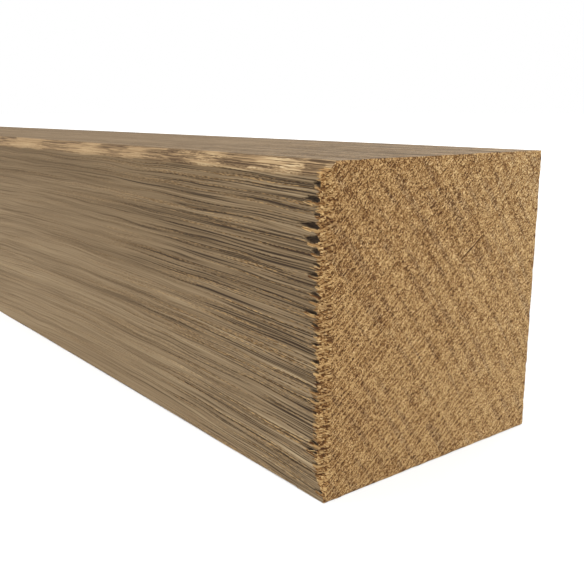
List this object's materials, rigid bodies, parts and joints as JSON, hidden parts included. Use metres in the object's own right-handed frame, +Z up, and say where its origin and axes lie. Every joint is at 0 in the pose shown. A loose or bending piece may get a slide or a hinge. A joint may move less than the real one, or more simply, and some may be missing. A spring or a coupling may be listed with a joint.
{
  "type": "squared timber",
  "caption": "Straight sawn hardwood timber of nominally square section, cut square at both ends, with one long arris eased to a narrow flat.",
  "frame": {"origin": "middle of the bottom face", "axes": "+X along the timber to its freshly cut end, +Y from the front face to the back face, +Z up"},
  "size_m": [1, 0.097, 0.1],
  "materials": {
    "oak": "sawn and weathered, with a freshly cut end"
  },
  "bodies": {
    "root": {"squared_timber": "oak"}
  },
  "joints": []
}
